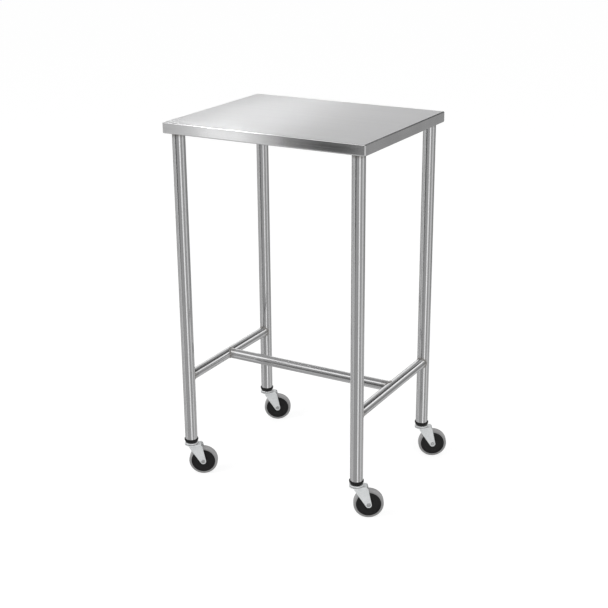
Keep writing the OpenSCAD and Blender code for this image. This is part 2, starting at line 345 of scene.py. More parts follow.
@dataclass(frozen=True)
class SteelGrain(Effect):
    """Fine lines and broader streaks along the grain, from their number per metre on each axis."""

    name: str = "steel_grain"
    inputs: Inputs = (PLACE, ("Lines", (3.0, 900.0, 900.0)), ("Streaks", (1.5, 90.0, 90.0)))
    outputs: Names = ("Lines", "Streaks")

    def lay(self, bench: Bench, given: Given) -> Laid:
        """Lays two noises, stretched along the grain.

        Args:
            bench: where the nodes go.
            given: the group's inputs.

        Returns:
            What feeds each output.
        """
        lines = bench.vector("MULTIPLY", given["Place"], given["Lines"])
        streaks = bench.vector("MULTIPLY", given["Place"], given["Streaks"])
        return {"Lines": bench.noise(lines, 1.0), "Streaks": bench.noise(streaks, 1.0, *PLAIN_NOISE)}


@dataclass(frozen=True)
class HandlingMarks(Effect):
    """Wipe smudges and short hairline scratches, from their number per metre."""

    name: str = "handling_marks"
    inputs: Inputs = (PLACE, ("Smudges", 14.0), ("Scratches", 60.0))
    outputs: Names = ("Smudge", "Scratch")
    smudge_span: Pair = (0.48, 0.72)
    smudge_detail: float = 4.0
    bend: Point = (0.02, 0.015, 0.02)
    line_share: float = 0.018
    break_span: Pair = (0.56, 0.66)

    def lay(self, bench: Bench, given: Given) -> Laid:
        """Lays cut noise for the smudges and broken, bent cell borders for the scratches.

        Args:
            bench: where the nodes go.
            given: the group's inputs.

        Returns:
            What feeds each output.
        """
        place, smudges, scratches = (given[label] for label, _ in self.inputs)
        smudge = bench.ramp(bench.noise(place, smudges, self.smudge_detail), *self.smudge_span)
        bent = bench.vector("ADD", place, bench.shade(self.bend, bench.noise(place, smudges, *PLAIN_NOISE)))
        cells = {"Vector": bent, "Scale": scratches}
        borders = bench.node("ShaderNodeTexVoronoi", cells, feature="DISTANCE_TO_EDGE").outputs["Distance"]
        line = bench.ramp(borders, 0.0, self.line_share, 1.0, 0.0)
        kept = bench.ramp(bench.noise(place, scratches, *PLAIN_NOISE), *self.break_span)
        return {"Smudge": smudge, "Scratch": bench.times(line, kept)}


@dataclass(frozen=True)
class WornEdge(Effect):
    """Mask of the edges, where plating and paint rub thin, from the width of the worn band."""

    name: str = "worn_edge"
    inputs: Inputs = (PLACE, ("Width", 0.0006))
    outputs: Names = ("Edge",)
    samples: int = 4
    turn_span: Pair = (0.01, 0.12)
    chips: float = 700.0
    chip_span: Pair = (0.35, 0.6)

    def lay(self, bench: Bench, given: Given) -> Laid:
        """Compares the rounded normal with the true one, and breaks the band up with noise.

        Args:
            bench: where the nodes go.
            given: the group's inputs.

        Returns:
            What feeds each output.
        """
        rounded = bench.node("ShaderNodeBevel", {"Radius": given["Width"]}, samples=self.samples)
        kept = bench.vector("DOT_PRODUCT", rounded.outputs["Normal"], bench.normal())
        turned_off = bench.minus(1.0, kept)
        broken = bench.ramp(bench.noise(given["Place"], self.chips), *self.chip_span)
        return {"Edge": bench.times(bench.ramp(turned_off, *self.turn_span), broken)}


@dataclass(frozen=True)
class FloorDust(Effect):
    """Dust that the castors pick up from the floor, from the height at which it ends."""

    name: str = "floor_dust"
    inputs: Inputs = (PLACE, ("Height", 0.1))
    outputs: Names = ("Dust",)
    left_above: float = 0.25
    film: float = 45.0
    film_span: Pair = (0.35, 0.75)
    film_rough: float = 0.55
    specks: float = 260.0
    speck_span: Pair = (0.5, 0.75)
    speck_rough: float = 0.7
    film_share: float = 0.6
    speck_share: float = 0.4

    def lay(self, bench: Bench, given: Given) -> Laid:
        """Lays a film with specks, thicker low down.

        Args:
            bench: where the nodes go.
            given: the group's inputs.

        Returns:
            What feeds each output.
        """
        place = given["Place"]
        low = bench.ramp(bench.parts(place)[2], 0.0, given["Height"], 1.0, self.left_above)
        film = bench.ramp(bench.noise(place, self.film, rough=self.film_rough), *self.film_span)
        specks = bench.ramp(bench.noise(place, self.specks, rough=self.speck_rough), *self.speck_span)
        both = bench.plus(bench.times(film, self.film_share), bench.times(specks, self.speck_share))
        return {"Dust": bench.times(both, low)}


def middle(node: str) -> Vector:
    """Middle of a CAD node's box."""
    low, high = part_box(node)
    return (low + high) / 2.0


def size(node: str) -> Vector:
    """Sides of a CAD node's box."""
    low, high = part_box(node)
    return high - low


@dataclass(frozen=True)
class CastorPlace:
    """Where the castors stand, read from the frame, for what needs a wheel's own coordinates."""

    leg_x: float
    leg_y: float
    trail: float
    turn: float
    axle_z: float

    @staticmethod
    def measured() -> "CastorPlace":
        """Reads a leg's and an axle bush's middles from the frame.

        Returns:
            The castors' place.
        """
        leg = middle(Corner.FRONT_RIGHT.part("leg"))
        bush = middle(Corner.FRONT_RIGHT.part("bush"))
        along = bush - leg
        along.z = 0.0
        return CastorPlace(abs(leg.x), abs(leg.y), along.length, math.atan2(along.y, along.x), bush.z)

    def near(self) -> Vector:
        """Unit vector along the axles to the wheels' near side."""
        return Vector((math.sin(self.turn), -math.cos(self.turn), 0.0))

    def trailing(self) -> Vector:
        """Unit vector in which the castors trail."""
        return Vector((math.cos(self.turn), math.sin(self.turn), 0.0))

    def axle(self, corner: Corner) -> Vector:
        """Middle of a corner's axle."""
        leg = Vector((corner.sign_x * self.leg_x, corner.sign_y * self.leg_y, self.axle_z))
        return leg + self.trailing() * self.trail


CASTORS = CastorPlace.measured()


@dataclass(frozen=True)
class WheelPlace(Effect):
    """Reach from the axle, distance across the tread from its middle and the angle round the axle."""

    name: str = "wheel_place"
    inputs: Inputs = ()
    outputs: Names = ("Reach", "Across", "Round")

    def lay(self, bench: Bench, given: Given) -> Laid:
        """Moves the point to its own corner's axle and turns it to the wheel.

        Args:
            bench: where the nodes go.
            given: the group's inputs, of which there are none; not used.

        Returns:
            What feeds each output.
        """
        x, y, z = bench.parts(bench.place())
        from_leg = [
            bench.minus(value, bench.times(bench.math("SIGN", value), leg))
            for value, leg in ((x, CASTORS.leg_x), (y, CASTORS.leg_y))
        ]
        flat = bench.join(*from_leg, 0.0)
        along = bench.minus(bench.vector("DOT_PRODUCT", flat, CASTORS.trailing()), CASTORS.trail)
        across = bench.vector("DOT_PRODUCT", flat, CASTORS.near())
        rise = bench.minus(z, CASTORS.axle_z)
        reach = bench.vector("LENGTH", bench.join(along, 0.0, rise))
        return {"Reach": reach, "Across": across, "Round": bench.math("ARCTAN2", rise, along)}


@dataclass(frozen=True)
class WeldHeatAndShade(Effect):
    """Heat tint that the polisher leaves beside the brace's welds, and painted shade on the legs right under
    the top.
    """

    name: str = "weld_heat_and_shade"
    outputs: Names = ("HeatAndShade",)
    near: float = 0.0135
    far: float = 0.0185
    beside: float = 0.33
    under: float = 1.0
    drop: float = 0.011

    def lay(self, bench: Bench, given: Given) -> Laid:
        """Takes the distance to the nearer of a leg's saddle and the stretcher's saddle for the heat tint,
        and the height for the painted shade.

        Args:
            bench: where the nodes go.
            given: the group's inputs.

        Returns:
            What feeds each output.
        """
        brace_z = middle("stretcher").z
        leg_r = size(Corner.FRONT_LEFT.part("leg")).x / 2.0
        rail_r = size("stretcher").z / 2.0
        folded = bench.vector("ABSOLUTE", given["Place"])
        to_leg = bench.vector("DISTANCE", folded, (CASTORS.leg_x, CASTORS.leg_y - leg_r, brace_z))
        to_rail = bench.vector("DISTANCE", folded, (CASTORS.leg_x - rail_r, 0.0, brace_z))
        beside = bench.ramp(bench.math("MINIMUM", to_leg, to_rail), self.near, self.far, self.beside, 0.0)
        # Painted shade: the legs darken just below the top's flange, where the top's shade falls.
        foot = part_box("top_sheet")[0].z
        under = bench.ramp(bench.parts(given["Place"])[2], foot - self.drop, foot, 0.0, self.under)
        return {"HeatAndShade": bench.math("MAXIMUM", beside, under)}


@dataclass(frozen=True)
class RaceGreaseAndShade(Effect):
    """Dark grease, and painted shade of the gap, on what faces the balls of a swivel race."""

    name: str = "race_grease_and_shade"
    outputs: Names = ("GreaseAndShade",)
    spread: float = 0.0004

    def lay(self, bench: Bench, given: Given) -> Laid:
        """Keeps to the ring and the height of the balls, measured from each leg's axis.

        Args:
            bench: where the nodes go.
            given: the group's inputs.

        Returns:
            What feeds each output.
        """
        # The ring by the balls is painted near black. This is real grease and painted shade of the gap
        # between cap and crown.
        low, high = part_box(Corner.FRONT_RIGHT.part("race_balls"))
        x, y, z = bench.parts(bench.vector("ABSOLUTE", given["Place"]))
        flat = bench.join(bench.minus(x, CASTORS.leg_x), bench.minus(y, CASTORS.leg_y), 0.0)
        reach = (high.x - low.x) / 2.0 + self.spread
        inside = bench.math("LESS_THAN", bench.vector("LENGTH", flat), reach)
        above = bench.math("GREATER_THAN", z, low.z - self.spread)
        below = bench.math("LESS_THAN", z, high.z + self.spread / 2.0)
        return {"GreaseAndShade": bench.times(inside, bench.times(above, below))}


GRAIN = SteelGrain()
MARKS = HandlingMarks()
EDGES = WornEdge()
DUST = FloorDust()
WHEEL = WheelPlace()
HEAT_AND_SHADE = WeldHeatAndShade()
GREASE_AND_SHADE = RaceGreaseAndShade()


# Finishes


def blank_material(name: str) -> Tuple[bpy.types.Material, Bench]:
    """Makes a material without nodes.

    Args:
        name: the material's name.

    Returns:
        The material, and a bench on its node tree.
    """
    made = bpy.data.materials.new(name)
    made.use_nodes = True
    made.node_tree.nodes.clear()
    return made, Bench(made.node_tree)


@dataclass(frozen=True)
class Finish:
    """One finish of the table, kept as one material."""

    name: str = "finish"
    colour: Colour = (0.5, 0.5, 0.5)
    roughness: float = 0.5
    smoother: float = 0.06
    rougher: float = 0.10
    metallic: float = 0.0
    edge_width: float = 0.0006
    dust_height: float = 0.1
    dust_share: float = 0.0
    smudges: float = 14.0
    scratches: float = 60.0

    def material(self) -> bpy.types.Material:
        """Builds the material the first time that it is asked for, apart from the frame's own ones.

        Returns:
            The material.
        """
        kept = f"finish_{self.name}"
        found = bpy.data.materials.get(kept)
        if found is not None:
            return found
        made, bench = blank_material(kept)
        made.diffuse_color = (*self.colour, 1.0)
        shader = bench.node("ShaderNodeBsdfPrincipled", {"Metallic": self.metallic})
        for label, value in self.lay(bench, bench.place()).items():
            bench.feed(shader.inputs[label], value)
        bench.node("ShaderNodeOutputMaterial", {"Surface": shader.outputs[0]}, is_active_output=True)
        return made

    def lay(self, bench: Bench, place: Socket) -> Laid:
        """Lays the finish's nodes.

        Args:
            bench: the material's bench.
            place: the surface point.

        Returns:
            What feeds the Principled shader.
        """
        raise NotImplementedError

    def edge(self, bench: Bench, place: Socket) -> Socket:
        """Mask of the finish's worn edges."""
        return EDGES.on(bench, Place=place, Width=self.edge_width)["Edge"]

    def dust(self, bench: Bench, place: Socket) -> Socket:
        """Mask of the finish's dust."""
        return bench.times(DUST.on(bench, Place=place, Height=self.dust_height)["Dust"], self.dust_share)

    def marks(self, bench: Bench, place: Socket) -> bpy.types.NodeOutputs:
        """Smudges and scratches of the finish, by their number per metre."""
        return MARKS.on(bench, Place=place, Smudges=self.smudges, Scratches=self.scratches)

    def uneven(self, bench: Bench, value: Feed, span: Span = Span.WIDE) -> Socket:
        """Roughness that goes up and down with a noise."""
        return bench.vary(value, span, self.roughness - self.smoother, self.roughness + self.rougher)

    def on(self, piece: Piece) -> Piece:
        """Puts the finish on every slot of a piece.

        Args:
            piece: a mesh with or without slots.

        Returns:
            The same piece.
        """
        if not piece.material_slots:
            piece.data.materials.append(None)
        for slot in piece.material_slots:
            slot.material = self.material()
        return piece


@dataclass(frozen=True)
class SatinSheet(Finish):
    """Stainless sheet brushed along the top's length and along each turned-down edge."""

    name: str = "satin_sheet"
    colour: Colour = (0.79, 0.79, 0.795)
    roughness: float = 0.36
    metallic: float = 1.0
    anisotropy: float = 1.0
    smudged: Colour = (0.66, 0.66, 0.66)
    streak_tones: Pair = (0.985, 1.012)
    line_tones: Pair = (0.985, 1.015)
    smudge_share: float = 0.16
    smudge_shine: float = 0.04
    scratch_matt: float = 0.06
    line_matt: float = 0.03
    end_face: float = 0.7
    edge_roughness: float = 0.13
    edge_clouds: float = 14.0
    cloud_tone: float = 0.045
    edge_span: Pair = (0.1, 0.6)
    bend_start: Pair = (0.02, 0.2)
    bend_close: Pair = (0.8, 0.98)
    bend_end: float = 0.9
    bend_lines: float = 0.1
    bend_roughness: float = 0.05
    end_bend_span: Pair = (0.08, 0.3)
    # How dark the end bends are painted: painted shade on the bends of the end faces.
    painted_end_bend_shade: float = 0.45
    line_depth: float = 0.000004
    wave_depth: float = 0.0001
    wave_scale: float = 3.5
    smudges: float = 9.0
    scratches: float = 26.0

    def lay(self, bench: Bench, place: Socket) -> Laid:
        """Lays the grain, turned to run along the edge on the end faces, with clouds on the edges and painted
        shade on the end bends.

        Args:
            bench: the material's bench.
            place: the surface point.

        Returns:
            What feeds the Principled shader.
        """
        facing = bench.parts(bench.normal())
        lean = bench.math("ABSOLUTE", facing[0])
        upright = bench.math("ABSOLUTE", facing[2])
        on_end = bench.math("GREATER_THAN", lean, self.end_face)
        x, y, z = bench.parts(place)
        turned_place = bench.mix("VECTOR", on_end, place, bench.join(y, x, z))
        grain = GRAIN.on(bench, Place=turned_place)
        marks = self.marks(bench, place)
        clouds = bench.noise(turned_place, self.edge_clouds, *PLAIN_NOISE)
        cloudy = bench.vary(clouds, Span.NARROW, -self.cloud_tone, self.cloud_tone)
        cloud = bench.plus(bench.times(cloudy, bench.ramp(upright, *self.edge_span, 1.0, 0.0)), 1.0)
        closing = bench.ramp(upright, *self.bend_close, 1.0, 0.0)
        bent = bench.times(bench.ramp(upright, *self.bend_start), closing)
        # The end bends are darkened as painted shade. The clouds on the edges are random tone.
        end_bend = bench.times(*(bench.ramp(value, *self.end_bend_span) for value in (lean, upright)))
        clouds_and_end_bend_shade = bench.times(cloud, bench.ramp(end_bend, 0.0, 1.0, 1.0, self.painted_end_bend_shade))
        streaked = bench.shade(self.colour, bench.vary(grain["Streaks"], Span.MIDDLE, *self.streak_tones))
        lined = bench.shade(streaked, bench.vary(grain["Lines"], Span.WIDE, *self.line_tones))
        smudge = bench.times(marks["Smudge"], self.smudge_share)
        level = bench.ramp(upright, self.bend_end, 1.0, self.edge_roughness, self.roughness)
        softer = bench.plus(level, bench.times(bent, self.bend_roughness))
        rough = bench.plus(softer, bench.vary(grain["Lines"], Span.WIDE, -self.line_matt, self.line_matt))
        greasy = bench.times(marks["Smudge"], self.smudge_shine)
        cut = bench.times(marks["Scratch"], self.scratch_matt)
        wave = bench.bump(bench.noise(place, self.wave_scale, *SMOOTH_NOISE), self.wave_depth)
        brushed = bench.minus(grain["Lines"], marks["Scratch"])
        calmed = bench.times(brushed, bench.ramp(bent, 0.0, 1.0, 1.0, self.bend_lines))
        return {
            "Base Color": bench.tint(smudge, bench.shade(lined, clouds_and_end_bend_shade), self.smudged),
            "Roughness": bench.plus(rough, bench.minus(cut, greasy)),
            "Anisotropic": self.anisotropy,
            "Tangent": bench.across(bench.join(bench.minus(1.0, on_end), on_end, 0.0)),
            "Normal": bench.bump(calmed, self.line_depth, normal=wave),
        }


@dataclass(frozen=True)
class DrawnTube(Finish):
    """Stainless tube, drawn and polished along its length, with repeats per metre along and across it."""

    name: str = "drawn_tube"
    colour: Colour = (0.66, 0.66, 0.665)
    roughness: float = 0.15
    smoother: float = 0.04
    rougher: float = 0.05
    metallic: float = 1.0
    anisotropy: float = 0.35
    grain: Grain = Grain.UPRIGHT
    smudged: Colour = (0.56, 0.56, 0.555)
    # Colour of the heat tint beside the welds, also used for the painted shade on the legs under the top.
    heat_tint_and_shade: Colour = (0.32, 0.305, 0.285)
    lines: Pair = (2.0, 1100.0)
    streaks: Pair = (1.2, 260.0)
    waves: Pair = (6.0, 45.0)
    streak_tones: Pair = (0.93, 1.05)
    smudge_share: float = 0.22
    smudge_matt: float = 0.3
    scratch_matt: float = 0.1
    line_depth: float = 0.000010
    wave_depth: float = 0.00012
    smudges: float = 20.0
    scratches: float = 70.0

    def counts(self, repeats: Pair) -> Tuple[float, ...]:
        """Repeats per metre on each axis, from those along the grain and across it."""
        return tuple(repeats[0] if share else repeats[1] for share in self.grain.value)

    def lay(self, bench: Bench, place: Socket) -> Laid:
        """Lays drawing lines, smudges, the heat tint beside the welds and the painted shade under the top.

        Args:
            bench: the material's bench.
            place: the surface point.

        Returns:
            What feeds the Principled shader.
        """
        lines, streaks, waves = (self.counts(repeats) for repeats in (self.lines, self.streaks, self.waves))
        grain = GRAIN.on(bench, Place=place, Lines=lines, Streaks=streaks)
        marks = self.marks(bench, place)
        steel = bench.shade(self.colour, bench.vary(grain["Streaks"], Span.MIDDLE, *self.streak_tones))
        smudge = bench.times(marks["Smudge"], self.smudge_share)
        worn = bench.tint(smudge, steel, self.smudged)
        cut = bench.times(marks["Scratch"], self.scratch_matt)
        matt = bench.plus(cut, bench.times(smudge, self.smudge_matt))
        wave = bench.noise(bench.vector("MULTIPLY", place, waves), 1.0, *SMOOTH_NOISE)
        soft = bench.bump(wave, self.wave_depth)
        # The base colour takes the heat tint beside the welds and painted shade right under the top.
        return {
            "Base Color": bench.tint(HEAT_AND_SHADE.on(bench, Place=place)["HeatAndShade"], worn, self.heat_tint_and_shade),
            "Roughness": bench.plus(self.uneven(bench, grain["Lines"], Span.MIDDLE), matt),
            "Anisotropic": self.anisotropy,
            "Tangent": bench.across(self.grain.value),
            "Normal": bench.bump(bench.minus(grain["Lines"], marks["Scratch"]), self.line_depth, normal=soft),
        }


@dataclass(frozen=True)
class ZincPlating(Finish):
    """Bright zinc on pressed sheet, with faint crystals, rubbed edges and dust in its hollows."""

    name: str = "zinc_plating"
    colour: Colour = (0.90, 0.92, 0.925)
    roughness: float = 0.36
    rougher: float = 0.08
    metallic: float = 0.30
    dull: Colour = (0.81, 0.83, 0.835)
    rubbed: Colour = (0.90, 0.91, 0.92)
    dusty: Colour = (0.42, 0.41, 0.39)
    # Near black: real race grease, and painted shade of the gap round the balls.
    greased_and_shaded: Colour = (0.012, 0.011, 0.010)
    crystals: float = 850.0
    crystal_share: float = 0.35
    clouds: float = 140.0
    edge_width: float = 0.0007
    edge_share: float = 0.8
    edge_shine: float = 0.12
    dust_height: float = 0.07
    dust_share: float = 0.3
    dust_matt: float = 0.6
    smudges: float = 60.0
    scratches: float = 160.0
    depth: float = 0.00003

    def lay(self, bench: Bench, place: Socket) -> Laid:
        """Lays crystals, clouds, rubbed edges, dust, and grease with painted shade round the race balls.

        Args:
            bench: the material's bench.
            place: the surface point.

        Returns:
            What feeds the Principled shader.
        """
        cells = bench.node("ShaderNodeTexVoronoi", {"Vector": place, "Scale": self.crystals})
        facet = bench.node("ShaderNodeSeparateColor", {0: cells.outputs["Color"]}).outputs[0]
        clouds = bench.times(bench.noise(place, self.clouds), 1.0 - self.crystal_share)
        tone = bench.plus(bench.times(facet, self.crystal_share), clouds)
        edge = self.edge(bench, place)
        dust = self.dust(bench, place)
        marks = self.marks(bench, place)
        zinc = bench.tint(bench.vary(tone, Span.NARROW), self.dull, self.colour)
        rubbed = bench.tint(bench.times(edge, self.edge_share), zinc, self.rubbed)
        # Grease and painted shade of the race gap.
        grease_and_shade = GREASE_AND_SHADE.on(bench, Place=place)["GreaseAndShade"]
        rough = bench.vary(tone, Span.MIDDLE, self.roughness + self.rougher, self.roughness - self.smoother)
        matt = bench.plus(bench.times(dust, self.dust_matt), bench.times(edge, -self.edge_shine))
        height = bench.minus(bench.times(tone, HALF), marks["Scratch"])
        return {
            "Base Color": bench.tint(grease_and_shade, bench.tint(dust, rubbed, self.dusty), self.greased_and_shaded),
            "Roughness": bench.plus(rough, matt),
            "Metallic": bench.times(bench.minus(self.metallic, dust), bench.minus(1.0, grease_and_shade)),
            "Normal": bench.bump(height, self.depth),
        }


@dataclass(frozen=True)
class Fastener(Finish):
    """Bolt, nut, axle or ball steel with turning lines and a thin film of oil."""

    name: str = "fastener_steel"
    colour: Colour = (0.60, 0.61, 0.62)
    roughness: float = 0.30
    smoother: float = 0.07
    rougher: float = 0.07
    metallic: float = 1.0
    oily: Colour = (0.20, 0.18, 0.15)
    oil: float = 0.25
    oil_patches: float = 230.0
    oil_span: Pair = (0.4, 0.7)
    lines: Point = (60.0, 60.0, 2600.0)
    line_tones: Pair = (0.9, 1.06)
    edge_width: float = 0.0004
    edge_tone: float = 1.25
    depth: float = 0.00002

    def lay(self, bench: Bench, place: Socket) -> Laid:
        """Lays turning lines round Z, oil in patches and rubbed edges.

        Args:
            bench: the material's bench.
            place: the surface point.

        Returns:
            What feeds the Principled shader.
        """
        lines = bench.noise(bench.vector("MULTIPLY", place, self.lines), 1.0, detail=2.0)
        patch = bench.times(bench.ramp(bench.noise(place, self.oil_patches), *self.oil_span), self.oil)
        edge = self.edge(bench, place)
        steel = bench.shade(self.colour, bench.vary(lines, Span.WIDE, *self.line_tones))
        rubbed = bench.shade(steel, bench.ramp(edge, 0.0, 1.0, 1.0, self.edge_tone))
        return {
            "Base Color": bench.tint(patch, rubbed, self.oily),
            "Roughness": self.uneven(bench, lines),
            "Normal": bench.bump(lines, self.depth),
        }


@dataclass(frozen=True)
class CollarRubber(Finish):
    """Black rubber with a fine moulded skin and a pale bloom."""

    name: str = "collar_rubber"
    colour: Colour = (0.007, 0.007, 0.0075)
    roughness: float = 0.52
    rougher: float = 0.12
    shine: float = 0.25
    skin: float = 1500.0
    bloom: Colour = (0.035, 0.035, 0.034)
    blooms: float = 120.0
    bloom_detail: float = 4.0
    bloom_span: Pair = (0.45, 0.8)
    bloom_share: float = 0.5
    dusty: Colour = (0.10, 0.097, 0.09)
    dust_height: float = 0.2
    dust_share: float = 0.2
    depth: float = 0.00008

    def lay(self, bench: Bench, place: Socket) -> Laid:
        """Lays the skin, bloom and dust.

        Args:
            bench: the material's bench.
            place: the surface point.

        Returns:
            What feeds the Principled shader.
        """
        skin = bench.noise(place, self.skin, detail=2.0)
        clouds = bench.noise(place, self.blooms, self.bloom_detail)
        bloom = bench.times(bench.ramp(clouds, *self.bloom_span), self.bloom_share)
        dust = self.dust(bench, place)
        return {
            "Base Color": bench.tint(dust, bench.tint(bloom, self.colour, self.bloom), self.dusty),
            "Specular IOR Level": self.shine,
            "Roughness": self.uneven(bench, skin),
            "Normal": bench.bump(skin, self.depth, HALF),
        }


@dataclass(frozen=True)
class MouldedCore(Finish):
    """Black moulded plastic with flow rings, a fine texture and scuffs."""

    name: str = "moulded_core"
    colour: Colour = (0.005, 0.005, 0.0055)
    roughness: float = 0.33
    smoother: float = 0.05
    rougher: float = 0.08
    shine: float = 0.3
    scuffed: Colour = (0.04, 0.04, 0.04)
    smudge_share: float = 0.12
    edge_share: float = 0.35
    dusty: Colour = (0.08, 0.077, 0.073)
    dust_height: float = 0.065
    dust_share: float = 0.16
    dust_matt: float = 1.2
    smudges: float = 110.0
    scratches: float = 210.0
    rings: float = 1100.0
    texture: float = 1900.0
    texture_share: float = 0.4
    depth: float = 0.00006

    def lay(self, bench: Bench, place: Socket) -> Laid:
        """Lays rings round the axle, the moulded texture, scuffs and dust.

        Args:
            bench: the material's bench.
            place: the surface point.

        Returns:
            What feeds the Principled shader.
        """
        ring = bench.rings(WHEEL.on(bench)["Reach"], self.rings)
        texture = bench.times(bench.noise(place, self.texture, *PLAIN_NOISE), self.texture_share)
        marks = self.marks(bench, place)
        dust = self.dust(bench, place)
        scuff = bench.math("MAXIMUM", marks["Scratch"], bench.times(marks["Smudge"], self.smudge_share))
        edge = bench.times(self.edge(bench, place), self.edge_share)
        plastic = bench.tint(bench.math("MAXIMUM", scuff, edge), self.colour, self.scuffed)
        return {
            "Base Color": bench.tint(dust, plastic, self.dusty),
            "Specular IOR Level": self.shine,
            "Roughness": bench.plus(self.uneven(bench, ring, Span.NARROW), bench.times(dust, self.dust_matt)),
            "Normal": bench.bump(bench.plus(ring, texture), self.depth, HALF),
        }


@dataclass(frozen=True)
class GreyTyre(Finish):
    """Non-marking grey rubber with a scuffed, dusty tread. Painted shade darkens it by the core, and the
    paler tread is part wear, part painted floor reflection.
    """

    name: str = "tyre_rubber"
    colour: Colour = (0.345, 0.343, 0.345)
    roughness: float = 0.62
    # Darker band by the core: painted shade.
    inner: Colour = (0.305, 0.303, 0.305)
    # Paler tread: wear, and painted reflection of the floor.
    tread: Colour = (0.44, 0.436, 0.438)
    dirty: Colour = (0.22, 0.213, 0.205)
    core_reach: float = 0.0290
    tread_reach: float = 0.0343
    core_fade: float = 0.0035
    tread_fade: float = 0.0022
    drift: float = 0.0016
    drifts: float = 160.0
    lanes: float = 420.0
    lane_tones: Pair = (0.92, 1.06)
    scuffs_across: float = 900.0
    scuffs_round: float = 6.0
    scuff_span: Pair = (0.45, 0.75)
    scuff_share: float = 0.4
    dust_height: float = 0.05
    dust_share: float = 0.08
    skin: float = 1100.0
    depth: float = 0.00012
    strength: float = 0.6

    def lay(self, bench: Bench, place: Socket) -> Laid:
        """Lays the bands from the core to the tread (painted shade by the core, wear with painted floor
        reflection on the tread), scuffs across the tread and dirt.

        Args:
            bench: the material's bench.
            place: the surface point.

        Returns:
            What feeds the Principled shader.
        """
        wheel = WHEEL.on(bench)
        drift = bench.times(bench.minus(bench.noise(place, self.drifts), HALF), self.drift)
        reach = bench.plus(wheel["Reach"], drift)
        paler = bench.ramp(reach, self.core_reach, self.core_reach + self.core_fade)
        side = bench.tint(paler, self.inner, self.colour)
        # Tread band: wear, with painted floor reflection.
        worn = bench.ramp(reach, self.tread_reach - self.tread_fade, self.tread_reach)
        lane = bench.vary(bench.rings(wheel["Across"], self.lanes), Span.NARROW, *self.lane_tones)
        rubber = bench.shade(bench.tint(worn, side, self.tread), lane)
        across = bench.times(wheel["Across"], self.scuffs_across)
        scuffs = bench.noise(bench.join(across, bench.times(wheel["Round"], self.scuffs_round), 0.0), 1.0)
        dirt = bench.times(bench.times(worn, bench.ramp(scuffs, *self.scuff_span)), self.scuff_share)
        film = self.dust(bench, place)
        skin = bench.noise(place, self.skin)
        return {
            "Base Color": bench.tint(bench.math("MAXIMUM", dirt, film), rubber, self.dirty),
            "Roughness": self.uneven(bench, skin),
            "Normal": bench.bump(bench.minus(bench.times(skin, HALF), dirt), self.depth, self.strength),
        }


@dataclass(frozen=True)
class Stained(Finish):
    """Stuff with a fine grain and darker stains: a brushed weld bead or the nylon of a lock nut."""

    stained: Colour = (0.3, 0.3, 0.3)
    stains: float = 500.0
    stain_span: Pair = (0.4, 0.7)
    stain_share: float = 0.6
    grain: float = 2400.0
    detail: float = 3.0
    crisp: float = 0.6
    depth: float = 0.00005

    def lay(self, bench: Bench, place: Socket) -> Laid:
        """Lays stains and the grain.

        Args:
            bench: the material's bench.
            place: the surface point.

        Returns:
            What feeds the Principled shader.
        """
        stain = bench.ramp(bench.noise(place, self.stains), *self.stain_span, 0.0, self.stain_share)
        grain = bench.noise(place, self.grain, self.detail, self.crisp)
        return {
            "Base Color": bench.tint(stain, self.colour, self.stained),
            "Roughness": self.uneven(bench, grain),
            "Normal": bench.bump(grain, self.depth, HALF),
        }


SHEET = SatinSheet()
UPRIGHT_TUBE = DrawnTube(name="drawn_tube_upright", grain=Grain.UPRIGHT)
DEPTH_TUBE = DrawnTube(name="drawn_tube_depth", grain=Grain.DEPTH)
LENGTH_TUBE = DrawnTube(name="drawn_tube_length", grain=Grain.LENGTH)
ZINC = ZincPlating()
BRIGHT_ZINC = ZincPlating(name="bright_zinc", colour=(0.93, 0.94, 0.945), roughness=0.2, metallic=0.5)
BOLT = Fastener()
# Race balls: oiled steel whose dark colour and heavy oil are also painted shade of the race gap.
SHADED_BALL = Fastener(name="race_ball_steel_shaded", colour=(0.30, 0.30, 0.31), roughness=0.14, oil=0.9, depth=0.000004)
RUBBER = CollarRubber()
CORE = MouldedCore()
TYRE = GreyTyre()
WELD = Stained(
    name="weld_metal", colour=(0.50, 0.485, 0.465), roughness=0.34, smoother=0.08, rougher=0.12, metallic=1.0,
    stained=(0.19, 0.175, 0.16), stains=420.0, stain_span=(0.42, 0.66), depth=0.00008,
)
NYLON = Stained(
    name="lock_nylon", colour=(0.62, 0.61, 0.56), roughness=0.45, stained=(0.30, 0.27, 0.22),
    stain_span=(0.4, 0.75), stain_share=0.7, grain=2200.0, detail=2.0, crisp=0.5, depth=0.00003,
)


# Shapes


def circle(steps: int) -> List[float]:
    """Angles of equal steps round a circle, in radians."""
    return [2.0 * math.pi * step / steps for step in range(steps)]


def finished(mesh: Mesh, name: str) -> Piece:
    """Turns a bmesh into a smooth piece.

    Args:
        mesh: the mesh, which is used up.
        name: the piece's name.

    Returns:
        The new object, in the scene.
    """
    bmesh.ops.recalc_face_normals(mesh, faces=mesh.faces)
    data = bpy.data.meshes.new(name)
    mesh.to_mesh(data)
    mesh.free()
    for face in data.polygons:
        face.use_smooth = True
    piece = bpy.data.objects.new(name, data)
    bpy.context.scene.collection.objects.link(piece)
    return piece


